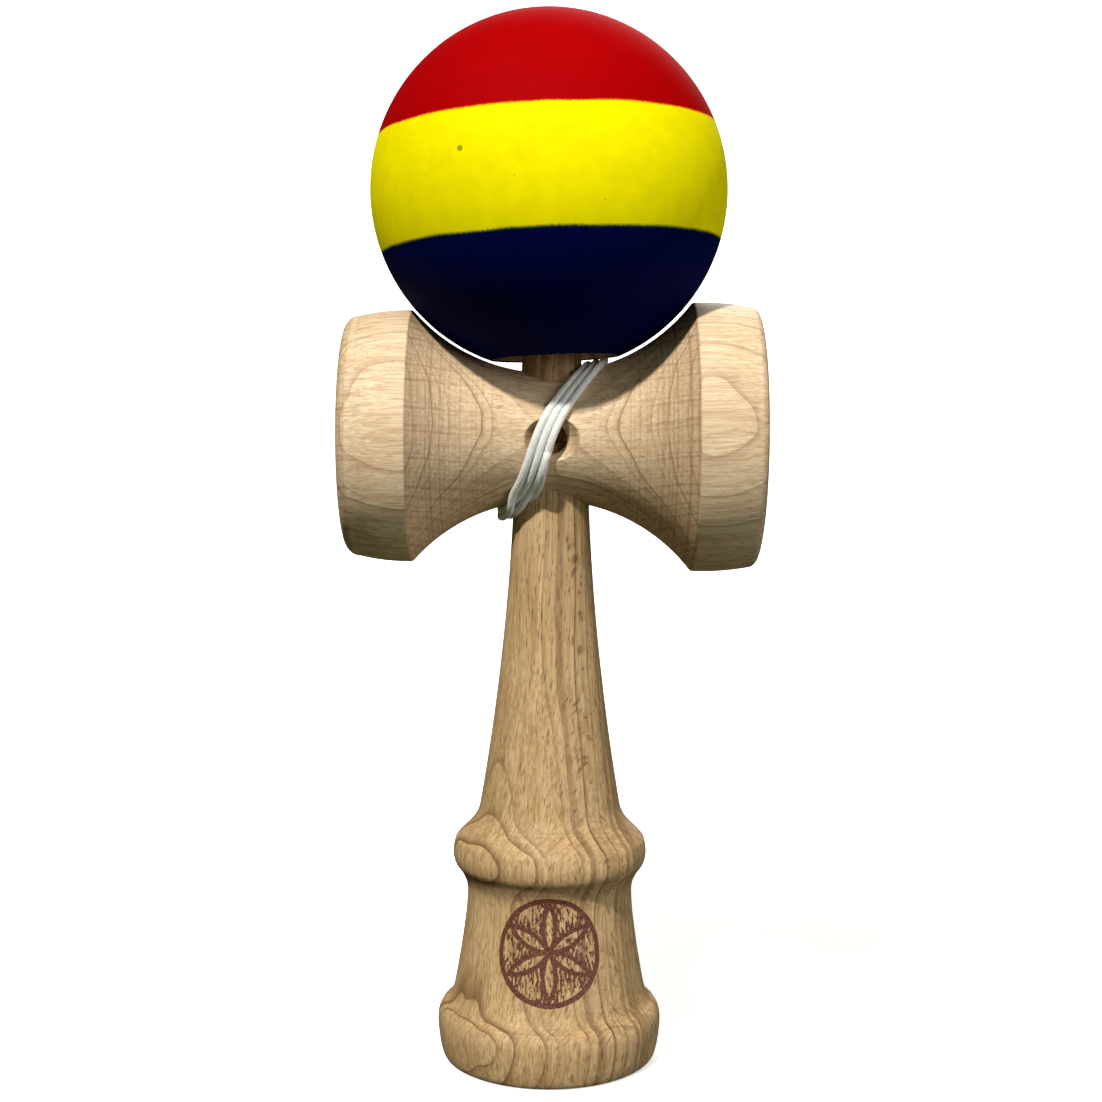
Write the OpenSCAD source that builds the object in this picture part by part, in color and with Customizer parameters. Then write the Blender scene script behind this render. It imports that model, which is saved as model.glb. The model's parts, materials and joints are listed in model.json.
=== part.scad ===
// Kendama: a turned handle with a spike and a base cup, a crosspiece with a big
// and a small cup, and a painted ball that sits on the spike. One string runs
// from a knot in the handle, round the crosspiece's waist and up to a bead
// inside the ball. Millimetres, +Z up, the base's middle at the origin, the
// crosspiece along X with its big cup at +X, the string's exit hole facing -Y.

/* [Handle] */
// Height of the handle from its base to the tip of its spike
ken_h = 156; // [152:1:160]
// Diameter of the base rim
base_d = 38.8; // [37.5:0.1:40]
// Diameter of the flange above the base
flange_d = 33.5; // [32:0.1:35]
// Diameter of the handle just under the crosspiece
neck_d = 12.9; // [12.5:0.1:13.5]
// Diameter of the hollow under the base
base_cup_d = 28.8; // [26:0.2:30]
// Depth of the hollow under the base
base_cup_depth = 6.2; // [4:0.2:8]
// Diameter of the cross hole that the string goes through
ken_hole_d = 2.4; // [2:0.1:3]

/* [Crosspiece] */
// Length over both rims
sarado_l = 69.6; // [69:0.1:71]
// Height of its axis above the base
sarado_z = 108.1; // [107.6:0.1:108.6]
// Diameter of the waist at its narrowest
waist_d = 21.7; // [21.3:0.1:21.9]
// Radius of the hollow curve that the waist is turned to
waist_r = 30.6; // [30.4:0.1:31.2]
// Diameter of the ridge beside the big cup
big_ridge_d = 45.7; // [45:0.1:46]
// Diameter of the ridge beside the small cup
small_ridge_d = 42.7; // [42:0.1:43]
// Diameter of the big cup's mouth
big_mouth_d = 39.8; // [38:0.2:40.6]
// Diameter of the small cup's mouth
small_mouth_d = 35.8; // [34:0.2:36.6]
// Depth of the big cup
big_depth = 10; // [8:0.5:11]
// Depth of the small cup
small_depth = 8; // [6:0.5:10]
// Diameter of the string holes in the waist
exit_hole_d = 5.2; // [4.8:0.1:5.6]
// Diameter of their bevels at the surface
exit_bevel_d = 8.6; // [8:0.1:9]

/* [Ball] */
// Diameter of the painted ball
ball_d = 60; // [59.8:0.1:60.2]
// Thickness of the rubber paint
paint_t = 0.3; // [0.2:0.05:0.4]
// Diameter of the bore that goes over the spike
bore_d = 18; // [17.6:0.1:18.4]
// Diameter of the bore's bevelled rim at the ball's surface
rim_d = 22; // [21.6:0.1:22.4]
// Width of the middle stripe
stripe_w = 19.2; // [17:0.2:21]
// How far the ball's top leans towards -X, in degrees
lean_x = 2.5; // [2:0.1:2.8]
// How far the ball's top leans towards +Y, in degrees
lean_y = 3; // [2.5:0.1:3.3]

/* [String and bead] */
// Diameter of the braided string
string_d = 1.3; // [1.1:0.1:1.4]
// Diameter of the bead inside the ball
bead_d = 9; // [8:0.5:9]
// Diameter of each knot
knot_d = 3.6; // [3.2:0.1:3.8]

/* [Hidden] */
$fn = 96;
eps = 0.05;            // play between two surfaces that are pushed together
beech = "#e3bf8d";
beech_cross = "#edcc9c";
bead_wood = "#d9b27c";
cord_white = "#f4f4ef";

// Handle
base_r = base_d / 2;
flange_r = flange_d / 2;
neck_r = neck_d / 2;
neck_z = 97;           // where the plain taper of the spike starts
taper = 0.0587;        // radius lost for each millimetre of height along the spike
tip_round = 1.2;
tip_r = neck_r - taper * (ken_h - neck_z);
foot_z = 44.5;         // where the handle's long curve meets the flange
base_cup_r = (pow(base_cup_d / 2, 2) + pow(base_cup_depth, 2)) / (2 * base_cup_depth);

// Crosspiece: the waist is an arc whose middle lies at [waist_x, waist_c] in its outline
half_l = sarado_l / 2;
waist_x = -0.5;
waist_c = waist_d / 2 + waist_r;
big_r = big_ridge_d / 2;
small_r = small_ridge_d / 2;
big_crown = 42;        // radius of the big cup's gently rounded outside
small_crown = 34;
big_lip = 1.5;         // rounding of each outer rim
small_lip = 2.3;
big_crown_x = 25.8;    // where each outside is widest
small_crown_x = -24.5;
big_cup_r = (pow(big_mouth_d / 2, 2) + pow(big_depth, 2)) / (2 * big_depth);
small_cup_r = (pow(small_mouth_d / 2, 2) + pow(small_depth, 2)) / (2 * small_depth);
exit_bevel_depth = (exit_bevel_d - exit_hole_d) / 2;

// Ball: its middle hangs just inside the waist's arc, off the wood all round
ball_r = ball_d / 2;
core_r = ball_r - paint_t;
ball_at = [-0.6, 0, sarado_z + waist_c - 0.25];
bore_r = bore_d / 2;
rim_r = rim_d / 2;
bore_end = 20.3;       // height of the bore's end above the ball's middle
hole_r = 1.4;          // throat of the string hole
mouth_r = 5;           // the string hole's rounded mouth
mouth_z = 25.95;
rim_z = -sqrt(pow(ball_r, 2) - pow(rim_r, 2));

// String
cord_r = string_d / 2;
cord_sides = 8;
bead_z = 15.5;         // middle of the bead above the ball's middle
bead_hole_r = 1.1;
bead_knot_z = 11.1;
recess_r = 2.3;
recess_top = 13;

// From the knot behind the handle, through it and out at the front, down to the winding
exit_route = [[0, 7.4, 108.1], [0, 4, 108.1], [0, 0, 108.1], [0, -4, 108.1], [0, -7, 108],
              [-0.1, -9.2, 107.5], [-0.4, -10.9, 106.4], [-0.9, -11.6, 104.9],
              [-1.4, -10.9, 102.6], [-1.9, -8.9, 100.4]];
// From behind the waist, up the ball's back, over the top and down to the bead
run_route = [[-5.1, 13.4, 108], [-4.9, 16.8, 114.4], [-4.6, 20.2, 120.9], [-4.4, 23.7, 127.5],
             [-4.2, 27.2, 134.6], [-3.9, 29.7, 141.2], [-3.6, 30.8, 148.2], [-3.4, 30.3, 155.2],
             [-3.1, 28.3, 161.8], [-2.8, 24.8, 167.9], [-2.5, 20, 173.1], [-2.3, 14.2, 177],
             [-2.1, 9.7, 178.8], [-2, 6.4, 179.7], [-1.9, 4, 179.2], [-1.8, 2.1, 177.5],
             [-1.7, 1.4, 175.2], [-1.6, 1.2, 172.2], [-1.5, 1.1, 169.2], [-1.2, 0.7, 162]];

// Points [radius, height] on a smooth curve that passes through each point of p
function between(a, b, c, d, t) = let (
        square = 2 * a - 5 * b + 4 * c - d,
        cube = 3 * b - a - 3 * c + d)
    (2 * b + (c - a) * t + square * t * t + cube * t * t * t) / 2;
function smooth(p, n) = let (last = len(p) - 1)
    [for (i = [0 : last - 1], k = [0 : n - 1])
        between(p[max(i - 1, 0)], p[i], p[i + 1], p[min(i + 2, last)], k / n), p[last]];
// Points on an arc about [cx, cy]
function arc(cx, cy, r, from, to, n) =
    [for (k = [0 : n]) let (a = from + (to - from) * k / n) [cx + r * cos(a), cy + r * sin(a)]];

// The handle's long hollow taper, from the flange up to the neck
function grip_r(z) = neck_r + 0.043 * (neck_z - z) + 0.00124 * pow(neck_z - z, 2);
function base_curve() = smooth([
    [base_r - 2, 0], [base_r - 1.1, 0.4], [base_r - 0.55, 1.8], [base_r - 0.2, 3.8], [base_r, 6],
    [base_r - 0.1, 7.8], [base_r - 0.75, 9.2], [base_r - 1.85, 10.1], [base_r - 2.5, 11.3],
    [base_r - 3.05, 13.5], [base_r - 4, 19], [base_r - 4.85, 25], [base_r - 5.15, 29]], 3);
function flange_curve() = smooth([
    [base_r - 5.15, 29.3], [base_r - 4.95, 31], [flange_r - 1.45, 32.9], [flange_r - 0.35, 34.5],
    [flange_r, 36.3], [flange_r - 0.25, 38.1], [flange_r - 0.75, 39.1], [flange_r - 3.2, 41.6],
    [flange_r - 4.2, 43.2], [grip_r(foot_z), foot_z]], 3);
function ken_outline() = concat(
    [[0, 0]], base_curve(), flange_curve(),
    [for (z = [49 : 4 : 93]) [grip_r(z), z]],
    [[neck_r, neck_z]],
    arc(tip_r - tip_round, ken_h - tip_round, tip_round, 0, 90, 6),
    [[0, ken_h]]);

// Radius of the waist at x, and the ridges where it meets the cups' outsides
function waist(x) = waist_c - sqrt(pow(waist_r, 2) - pow(x - waist_x, 2));
function ridge_x(r, side) = waist_x + side * sqrt(pow(waist_r, 2) - pow(waist_c - r, 2));
function crown(x, top_x, top_r, r) = top_r - r + sqrt(pow(r, 2) - pow(x - top_x, 2));
function crown_points(top_x, top_r, r, x0, x1, n) =
    [for (k = [1 : n]) let (x = x0 + (x1 - x0) * k / n) [crown(x, top_x, top_r, r), x]];
function sarado_outline() = let (
        s0 = ridge_x(small_r, -1), b0 = ridge_x(big_r, 1),
        s1 = -half_l + small_lip, b1 = half_l - big_lip,
        s_lip = crown(s1, small_crown_x, small_r, small_crown) - small_lip,
        b_lip = crown(b1, big_crown_x, big_r, big_crown) - big_lip)
    concat(
        [[0, -half_l]],
        arc(s_lip, s1, small_lip, -90, 0, 5),
        crown_points(small_crown_x, small_r, small_crown, s1, s0, 5),
        [for (k = [1 : 23]) let (x = s0 + (b0 - s0) * k / 24) [waist(x), x]],
        [[big_r - 0.05, b0]],
        crown_points(big_crown_x, big_r, big_crown, b0, b1, 5),
        arc(b_lip, b1, big_lip, 0, 90, 5),
        [[0, half_l]]);

// The winding: a = 0 is behind the waist, 90 on top, 180 in front and 270 below.
// The turns cross the front from upper right to lower left, and bunch up below.
function bunch(a) = pow(max(0, -sin(a)), 3);
function wrap_x(a) = -0.4 + 7.1 * sin(a) + 0.5 * cos(a) + 0.8 * sin(2 * a) - 0.5 * sin(3 * a)
    + 0.4 * cos(3 * a) - 1.2 * bunch(a);
wrap_rings = 60;
wrap_half = 2.05;      // half the width of three strands side by side
wrap_squeeze = 0.3;    // how much of that the bunch takes off
wrap_shift = 0.3;      // how far the turns lie to the right of their path behind the waist
function wrap_point(a, side, lift) = let (
        x = wrap_x(a) + wrap_shift * (1 + cos(a)) + side * (wrap_half - wrap_squeeze * bunch(a)),
        r = waist(x) + 0.05 + (string_d + bunch(a)) * lift)
    [x, r * cos(a), sarado_z + r * sin(a)];
wrap_section = [[-1, 0.3], [-0.75, 0], [0.75, 0], [1, 0.3], [1, 0.7], [0.75, 1], [-0.75, 1], [-1, 0.7]];

// Side faces that join ring i to ring j of a sweep with n points a ring
function band_faces(i, j, n) = [for (k = [0 : n - 1]) let (m = (k + 1) % n)
    [i * n + k, i * n + m, j * n + m, j * n + k]];
function unit(v) = v / norm(v);

// A round tube along the points p, with an upright reference across each ring
module tube(p, r, ref) {
    n = cord_sides;
    last = len(p) - 1;
    rings = [for (i = [0 : last]) let (
            t = unit(p[min(i + 1, last)] - p[max(i - 1, 0)]),
            u = unit(cross(t, ref)),
            v = cross(t, u))
        for (k = [0 : n - 1]) p[i] + r * (u * cos(360 * k / n) + v * sin(360 * k / n))];
    polyhedron(points = rings, faces = concat(
        [for (i = [0 : last - 1]) each band_faces(i + 1, i, n)],
        [[for (k = [0 : n - 1]) k]],
        [[for (k = [0 : n - 1]) last * n + n - 1 - k]]));
}

// Places the ball's own axes: its middle, and its lean off the upright
module ball_frame() {
    translate(ball_at) rotate([-lean_y, -lean_x, 0]) children();
}

// The bore, its bevelled rim and the string hole, cut from everything on the ball
module ball_holes() {
    translate([0, 0, -ball_r - 1]) cylinder(r = bore_r, h = ball_r + 1 + bore_end);
    translate([0, 0, rim_z - 3]) cylinder(r1 = rim_r + 3, r2 = bore_r, h = 3 + rim_r - bore_r);
    cylinder(r = hole_r, h = ball_r + 1);
    rotate_extrude() difference() {
        translate([0, mouth_z]) square([mouth_r, ball_r + 1 - mouth_z]);
        translate([mouth_r, mouth_z]) circle(r = mouth_r - hole_r);
    }
}

// One colour of paint: the shell between two heights on the ball's axis
module coat(low, high) {
    ball_frame() difference() {
        intersection() {
            sphere(r = ball_r);
            translate([0, 0, low]) cylinder(r = ball_r + 1, h = high - low);
        }
        sphere(r = core_r);
        ball_holes();
    }
}

module ken() {
    color(beech) difference() {
        rotate_extrude() polygon(ken_outline());
        translate([0, 0, base_cup_depth - base_cup_r]) sphere(r = base_cup_r);
        translate([0, neck_d, sarado_z]) rotate([90, 0, 0]) cylinder(d = ken_hole_d, h = 2 * neck_d);
    }
}

module sarado() {
    bore_low = sarado_z - waist_d;
    bore_high = sarado_z + waist_d;
    color(beech_cross) difference() {
        translate([0, 0, sarado_z]) rotate([90, 0, 90]) rotate_extrude() polygon(sarado_outline());
        translate([half_l - big_depth + big_cup_r, 0, sarado_z]) sphere(r = big_cup_r);
        translate([-half_l + small_depth - small_cup_r, 0, sarado_z]) sphere(r = small_cup_r);
        translate([0, 0, bore_low])
            cylinder(r1 = neck_r + taper * (neck_z - bore_low) + eps,
                     r2 = neck_r + taper * (neck_z - bore_high) + eps, h = bore_high - bore_low);
        for (side = [0, 180]) translate([0, 0, sarado_z]) rotate([90, 0, side]) {
            cylinder(d = exit_hole_d, h = waist_d);
            translate([0, 0, waist_d / 2 - exit_bevel_depth])
                cylinder(d1 = exit_hole_d, d2 = exit_bevel_d + 2, h = exit_bevel_depth + 1);
        }
    }
}

module ball() {
    color(beech) ball_frame() difference() {
        sphere(r = core_r);
        ball_holes();
    }
}

module paint_red() {
    color("#c00000") coat(stripe_w / 2, ball_r);
}

module paint_yellow() {
    color("#f4e800") coat(-stripe_w / 2, stripe_w / 2);
}

module paint_blue() {
    color("#00002d") coat(-ball_r, -stripe_w / 2);
}

module bead() {
    color(bead_wood) ball_frame() difference() {
        translate([0, 0, bead_z]) sphere(d = bead_d);
        cylinder(r = bead_hole_r, h = ball_r);
        translate([0, 0, bead_z - bead_d]) cylinder(r = recess_r, h = recess_top - bead_z + bead_d);
    }
}

module bead_knot() {
    color(cord_white) ball_frame() translate([0, 0, bead_knot_z]) sphere(d = knot_d);
}

module ken_knot() {
    color(cord_white) translate([0, neck_r - taper * (sarado_z - neck_z) + knot_d / 2 + eps, sarado_z])
        sphere(d = knot_d);
}

module string_exit() {
    color(cord_white) tube(smooth(exit_route, 2), cord_r, [1, 0, 0]);
}

module string_wrap() {
    n = len(wrap_section);
    color(cord_white) polyhedron(
        points = [for (i = [0 : wrap_rings - 1], s = wrap_section)
            wrap_point(360 * i / wrap_rings, s[0], s[1])],
        faces = [for (i = [0 : wrap_rings - 1]) each band_faces(i, (i + 1) % wrap_rings, n)]);
}

module string_run() {
    color(cord_white) tube(smooth(run_route, 2), cord_r, [1, 0, 0]);
}

ken();
sarado();
ball();
paint_red();
paint_yellow();
paint_blue();
bead();
bead_knot();
ken_knot();
string_exit();
string_wrap();
string_run();
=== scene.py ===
# Kendama: a turned beech handle and crosspiece, a ball in matte rubber paint, and one braided string
import json
import math
import bpy
import numpy as np
from mathutils import Matrix, Vector


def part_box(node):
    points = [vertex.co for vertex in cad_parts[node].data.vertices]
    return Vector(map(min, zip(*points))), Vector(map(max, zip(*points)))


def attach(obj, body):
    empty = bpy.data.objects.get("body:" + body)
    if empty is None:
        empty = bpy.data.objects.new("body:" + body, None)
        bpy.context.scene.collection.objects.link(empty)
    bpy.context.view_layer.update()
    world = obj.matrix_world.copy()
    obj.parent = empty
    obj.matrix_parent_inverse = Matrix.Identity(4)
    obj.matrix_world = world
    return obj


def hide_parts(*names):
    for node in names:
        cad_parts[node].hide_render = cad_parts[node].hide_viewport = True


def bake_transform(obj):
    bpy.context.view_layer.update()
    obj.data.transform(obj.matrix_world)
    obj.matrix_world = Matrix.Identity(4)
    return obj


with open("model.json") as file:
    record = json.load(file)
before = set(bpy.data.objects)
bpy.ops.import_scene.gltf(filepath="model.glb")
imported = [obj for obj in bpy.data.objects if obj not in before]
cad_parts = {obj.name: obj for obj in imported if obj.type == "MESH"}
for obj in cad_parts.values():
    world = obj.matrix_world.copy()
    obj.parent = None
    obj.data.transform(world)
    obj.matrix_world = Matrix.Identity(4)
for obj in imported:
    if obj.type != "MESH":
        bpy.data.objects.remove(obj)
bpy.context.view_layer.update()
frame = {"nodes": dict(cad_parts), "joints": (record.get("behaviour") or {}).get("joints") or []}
mm = 0.001
print("frame loaded:", ", ".join(sorted(frame["nodes"])))


def linear(hexColour):
    # sRGB hex to linear: below 0.04045 divide by 12.92, above it ((c + 0.055) / 1.055) to the power 2.4
    parts = [int(hexColour[i:i + 2], 16) / 255 for i in (1, 3, 5)]
    return [c / 12.92 if c <= 0.04045 else ((c + 0.055) / 1.055) ** 2.4 for c in parts] + [1.0]


# Camera: a hand-held close view, a little above the crosspiece and tilted down
camera = {
    "distance": 0.310,
    "height": 0.1186,
    "tiltDown": 5.54,      # degrees
    "roll": 0.25,          # degrees, leans the picture to the right
    "lens": 59.26,         # mm
    "sensor": 36,          # mm
}


def placeCamera():
    data = bpy.data.cameras.new("camera")
    data.lens = camera["lens"]
    data.sensor_width = camera["sensor"]
    data.clip_start, data.clip_end = 0.01, 30
    eye = bpy.data.objects.new("camera", data)
    turn = Matrix.Rotation(math.radians(90 - camera["tiltDown"]), 4, "X")
    turn = turn @ Matrix.Rotation(math.radians(camera["roll"]), 4, "Z")
    eye.matrix_world = Matrix.Translation((0, -camera["distance"], camera["height"])) @ turn
    bpy.context.scene.collection.objects.link(eye)
    bpy.context.scene.camera = eye


placeCamera()


# Meshes

sharpAbove = 30  # degrees: two faces that meet at more than this show an edge


def meshPiece(name, points, faces, sharpFrom=sharpAbove):
    mesh = bpy.data.meshes.new(name)
    mesh.from_pydata(np.asarray(points, float).tolist(), [], faces)
    mesh.validate()
    mesh.shade_smooth()
    mesh.set_sharp_from_angle(angle=math.radians(sharpFrom))
    piece = bpy.data.objects.new(name, mesh)
    bpy.context.scene.collection.objects.link(piece)
    return piece


def throughPoints(points, steps):
    # A smooth line through the points. Between b and c, with neighbours a and d, it is the cubic
    # (2b + (c - a)t + (2a - 5b + 4c - d)t^2 + (3b - a - 3c + d)t^3) / 2 for t from 0 to 1
    p = np.asarray(points, float)
    p = np.vstack([p[:1], p, p[-1:]])
    t = (np.arange(steps) / steps)[None, :, None]
    a, b, c, d = p[:-3, None], p[1:-2, None], p[2:-1, None], p[3:, None]
    square, cube = 2 * a - 5 * b + 4 * c - d, 3 * b - a - 3 * c + d
    line = (2 * b + (c - a) * t + square * t ** 2 + cube * t ** 3) / 2
    return np.vstack([line.reshape(-1, p.shape[1]), p[-1:]])


def arc(middle, radius, start, end, steps):
    # Points at middle + radius * (cos a, sin a), with a from start to end in degrees
    a = np.radians(np.linspace(start, end, steps + 1))
    return np.stack([middle[0] + radius * np.cos(a), middle[1] + radius * np.sin(a)], 1)


def evenly(line, gap):
    # The same line with points about one gap apart, and how far along it each one is
    along = np.concatenate([[0], np.cumsum(np.linalg.norm(np.diff(line, axis=0), axis=1))])
    at = np.linspace(0, along[-1], max(2, int(round(along[-1] / gap)) + 1))
    return np.stack([np.interp(at, along, line[:, k]) for k in range(line.shape[1])], 1), at


def turned(name, outline, steps, place):
    # A lathe surface: each [radius, height] goes round the axis as radius * (cos a, sin a) at that height.
    # An outline that starts and ends at radius 0 closes in two poles. Any other closes on itself as a ring.
    outline = np.asarray(outline, float)
    poles = outline[0, 0] == 0
    rows = outline[1:-1] if poles else outline
    a = np.arange(steps) * 2 * math.pi / steps
    grid = np.stack([rows[:, :1] * np.cos(a), rows[:, :1] * np.sin(a),
                     np.repeat(rows[:, 1:], steps, 1)], 2).reshape(-1, 3)
    i = np.arange(len(rows) - 1 if poles else len(rows))[:, None] * steps
    j = np.arange(steps)[None]
    k = (j + 1) % steps
    above = (i + steps) % (len(rows) * steps)
    quads = np.stack([i + j, i + k, above + k, above + j], 2).reshape(-1, 4).tolist()
    if poles:
        last = (len(rows) - 1) * steps
        grid = np.vstack([grid, [[0, 0, outline[0, 1]], [0, 0, outline[-1, 1]]]])
        bottomPole, topPole = np.full(steps, last + steps), np.full(steps, last + steps + 1)
        bottom = np.stack([bottomPole, k[0], j[0]], 1)
        top = np.stack([last + j[0], last + k[0], topPole], 1)
        quads += bottom.tolist() + top.tolist()
    m = np.array(place, float)
    return meshPiece(name, grid @ m[:3, :3].T + m[:3, 3], quads)


def cutAway(piece, cutter):
    # The cutter's volume is taken out of the piece, and the result becomes its mesh
    modifier = piece.modifiers.new("cut", "BOOLEAN")
    modifier.operation, modifier.solver, modifier.object = "DIFFERENCE", "MANIFOLD", cutter
    bpy.context.view_layer.update()
    cut = piece.evaluated_get(bpy.context.evaluated_depsgraph_get())
    result = bpy.data.meshes.new_from_object(cut)
    piece.modifiers.clear()
    piece.data = result
    result.set_sharp_from_angle(angle=math.radians(sharpAbove))
    bpy.data.objects.remove(cutter)
    return piece


def eased(outline, size, steps=4):
    # Corners that turn by more than 20 degrees are cut back by size and joined by the quadratic curve
    # (1 - t)^2 start + 2t(1 - t) corner + t^2 end
    nearlyStraight = -0.94  # cosine of 160 degrees
    p = np.asarray(outline, float)
    out = [p[0]]
    for before, corner, after in zip(p[:-2], p[1:-1], p[2:]):
        u, v = before - corner, after - corner
        lu, lv = np.linalg.norm(u), np.linalg.norm(v)
        if lu * lv == 0 or np.dot(u, v) / (lu * lv) < nearlyStraight:
            out.append(corner)
            continue
        start = corner + u / lu * min(size, lu / 2)
        end = corner + v / lv * min(size, lv / 2)
        t = np.linspace(0, 1, steps + 1)[:, None]
        out.extend((1 - t) ** 2 * start + 2 * t * (1 - t) * corner + t ** 2 * end)
    return np.array(out + [p[-1]])


upright = Matrix.Scale(mm, 4)              # a lathe's mm to metres, standing on the floor
frontToBack = Matrix.Rotation(math.pi / 2, 4, "X")

# Handle, in mm. Its outline is the base cup, the base, the flange, the long taper and the spike's round tip
ken = {
    "top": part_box("ken")[1].z / mm,
    "baseR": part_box("ken")[1].x / mm,
    "flangeR": 16.75,
    "neckR": 6.45,
    "neckZ": 97,
    "taper": 0.0587,        # radius lost for each mm of height above the neck
    "footZ": 44.5,          # where the long curve meets the flange
    "tipRound": 1.2,
    "cupR": 14.4,
    "cupDepth": 6.2,
    "holeR": 1.2,           # cross hole for the string
    "eased": 0.3,
    "steps": 224,
}


def kenRadius(z):
    # neckR + 0.043 s + 0.00124 s^2 with s mm below the neck, and a plain taper above it
    s = ken["neckZ"] - np.asarray(z, float)
    return np.where(s > 0, ken["neckR"] + 0.043 * s + 0.00124 * s ** 2, ken["neckR"] + ken["taper"] * s)


def makeKen():
    r, f, foot = ken["baseR"], ken["flangeR"], ken["footZ"]
    cupSphere = (ken["cupR"] ** 2 + ken["cupDepth"] ** 2) / (2 * ken["cupDepth"])
    spread = math.degrees(math.asin(ken["cupR"] / cupSphere))
    cup = arc((0, ken["cupDepth"] - cupSphere), cupSphere, 90, 90 - spread, 24)
    cup[0, 0] = 0
    base = throughPoints([
        [r - 2, 0], [r - 1.1, 0.4], [r - 0.55, 1.8], [r - 0.2, 3.8], [r, 6], [r - 0.1, 7.8],
        [r - 0.75, 9.2], [r - 1.85, 10.1], [r - 2.5, 11.3], [r - 3.05, 13.5], [r - 4, 19],
        [r - 4.85, 25], [r - 5.15, 29]], 6)
    flange = throughPoints([
        [r - 5.15, 29.3], [r - 4.95, 31], [f - 1.45, 32.9], [f - 0.35, 34.5], [f, 36.3],
        [f - 0.25, 38.1], [f - 0.75, 39.1], [f - 3.2, 41.6], [f - 4.2, 43.2],
        [float(kenRadius(foot)), foot]], 8)
    taperZ = np.linspace(foot + 0.5, ken["top"] - ken["tipRound"] - 0.5, 150)
    tipR = ken["neckR"] - ken["taper"] * (ken["top"] - ken["neckZ"])
    tip = arc((tipR - ken["tipRound"], ken["top"] - ken["tipRound"]), ken["tipRound"], 0, 90, 8)
    taper = np.stack([kenRadius(taperZ), taperZ], 1)
    outline = np.vstack([cup, base, flange, taper, tip, [[0, ken["top"]]]])
    piece = turned("handle_turned", eased(outline, ken["eased"]), ken["steps"], upright)
    past = 10  # the hole's cutter ends outside the taper
    hole = [[0, -past], [ken["holeR"], -past], [ken["holeR"], past], [0, past]]
    middle = Matrix.Translation((0, 0, sarado["axisZ"] * mm))
    cutAway(piece, turned("hole", hole, 48, middle @ frontToBack @ upright))
    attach(piece, "handle")
    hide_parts("ken")
    return piece


# Crosspiece, in mm. Its outline runs along its own axis, X, from the small cup to the big one.
saradoLow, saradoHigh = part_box("sarado")
sarado = {
    "half": saradoHigh.x / mm,
    "axisZ": (saradoLow.z + saradoHigh.z) / 2 / mm,
    "bigRidgeR": (saradoHigh.z - saradoLow.z) / 2 / mm,
    "smallRidgeR": 21.35,
    "waistR": 10.85,         # at its narrowest
    "waistArc": 30.6,        # radius of the hollow curve
    "waistX": -0.5,          # where it is narrowest
    "bigCrown": (25.8, 42),  # where the big cup's outside is widest, and its roundness
    "smallCrown": (-24.5, 34),
    "bigLip": 1.5,
    "smallLip": 2.3,
    "bigCup": (19.9, 10),    # mouth radius and depth
    "smallCup": (17.9, 8),
    "boreLoose": 0.05,       # how much wider its bore is than the handle
    "stringHoleR": 2.6,
    "bevelR": 4.3,
    "eased": 0.22,
    "steps": 256,
}


def waistRadius(x):
    # The middle of the hollow arc lies waistR + waistArc from the axis: radius = that - sqrt(arc^2 - x^2)
    s = sarado
    fromMiddle = np.asarray(x, float) - s["waistX"]
    return s["waistR"] + s["waistArc"] - np.sqrt(s["waistArc"] ** 2 - fromMiddle ** 2)


def crownRadius(x, ridgeR, crown):
    # A wide arc whose top is ridgeR at crown[0]
    return ridgeR - crown[1] + np.sqrt(crown[1] ** 2 - (np.asarray(x, float) - crown[0]) ** 2)


def ridgeAt(ridgeR, side):
    # Where the waist's arc has grown to the ridge's radius
    s = sarado
    return s["waistX"] + side * math.sqrt(s["waistArc"] ** 2 - (s["waistR"] + s["waistArc"] - ridgeR) ** 2)


def cupEnd(mouthR, depth, side):
    # The cup is part of a sphere of radius (mouth^2 + depth^2) / (2 depth), from the mouth to its middle
    sphereR = (mouthR ** 2 + depth ** 2) / (2 * depth)
    a = np.linspace(math.asin(mouthR / sphereR), 0, 25)
    out = np.stack([sphereR * np.sin(a), side * (sarado["half"] - depth + sphereR - sphereR * np.cos(a))], 1)
    out[-1, 0] = 0
    return out


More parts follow.
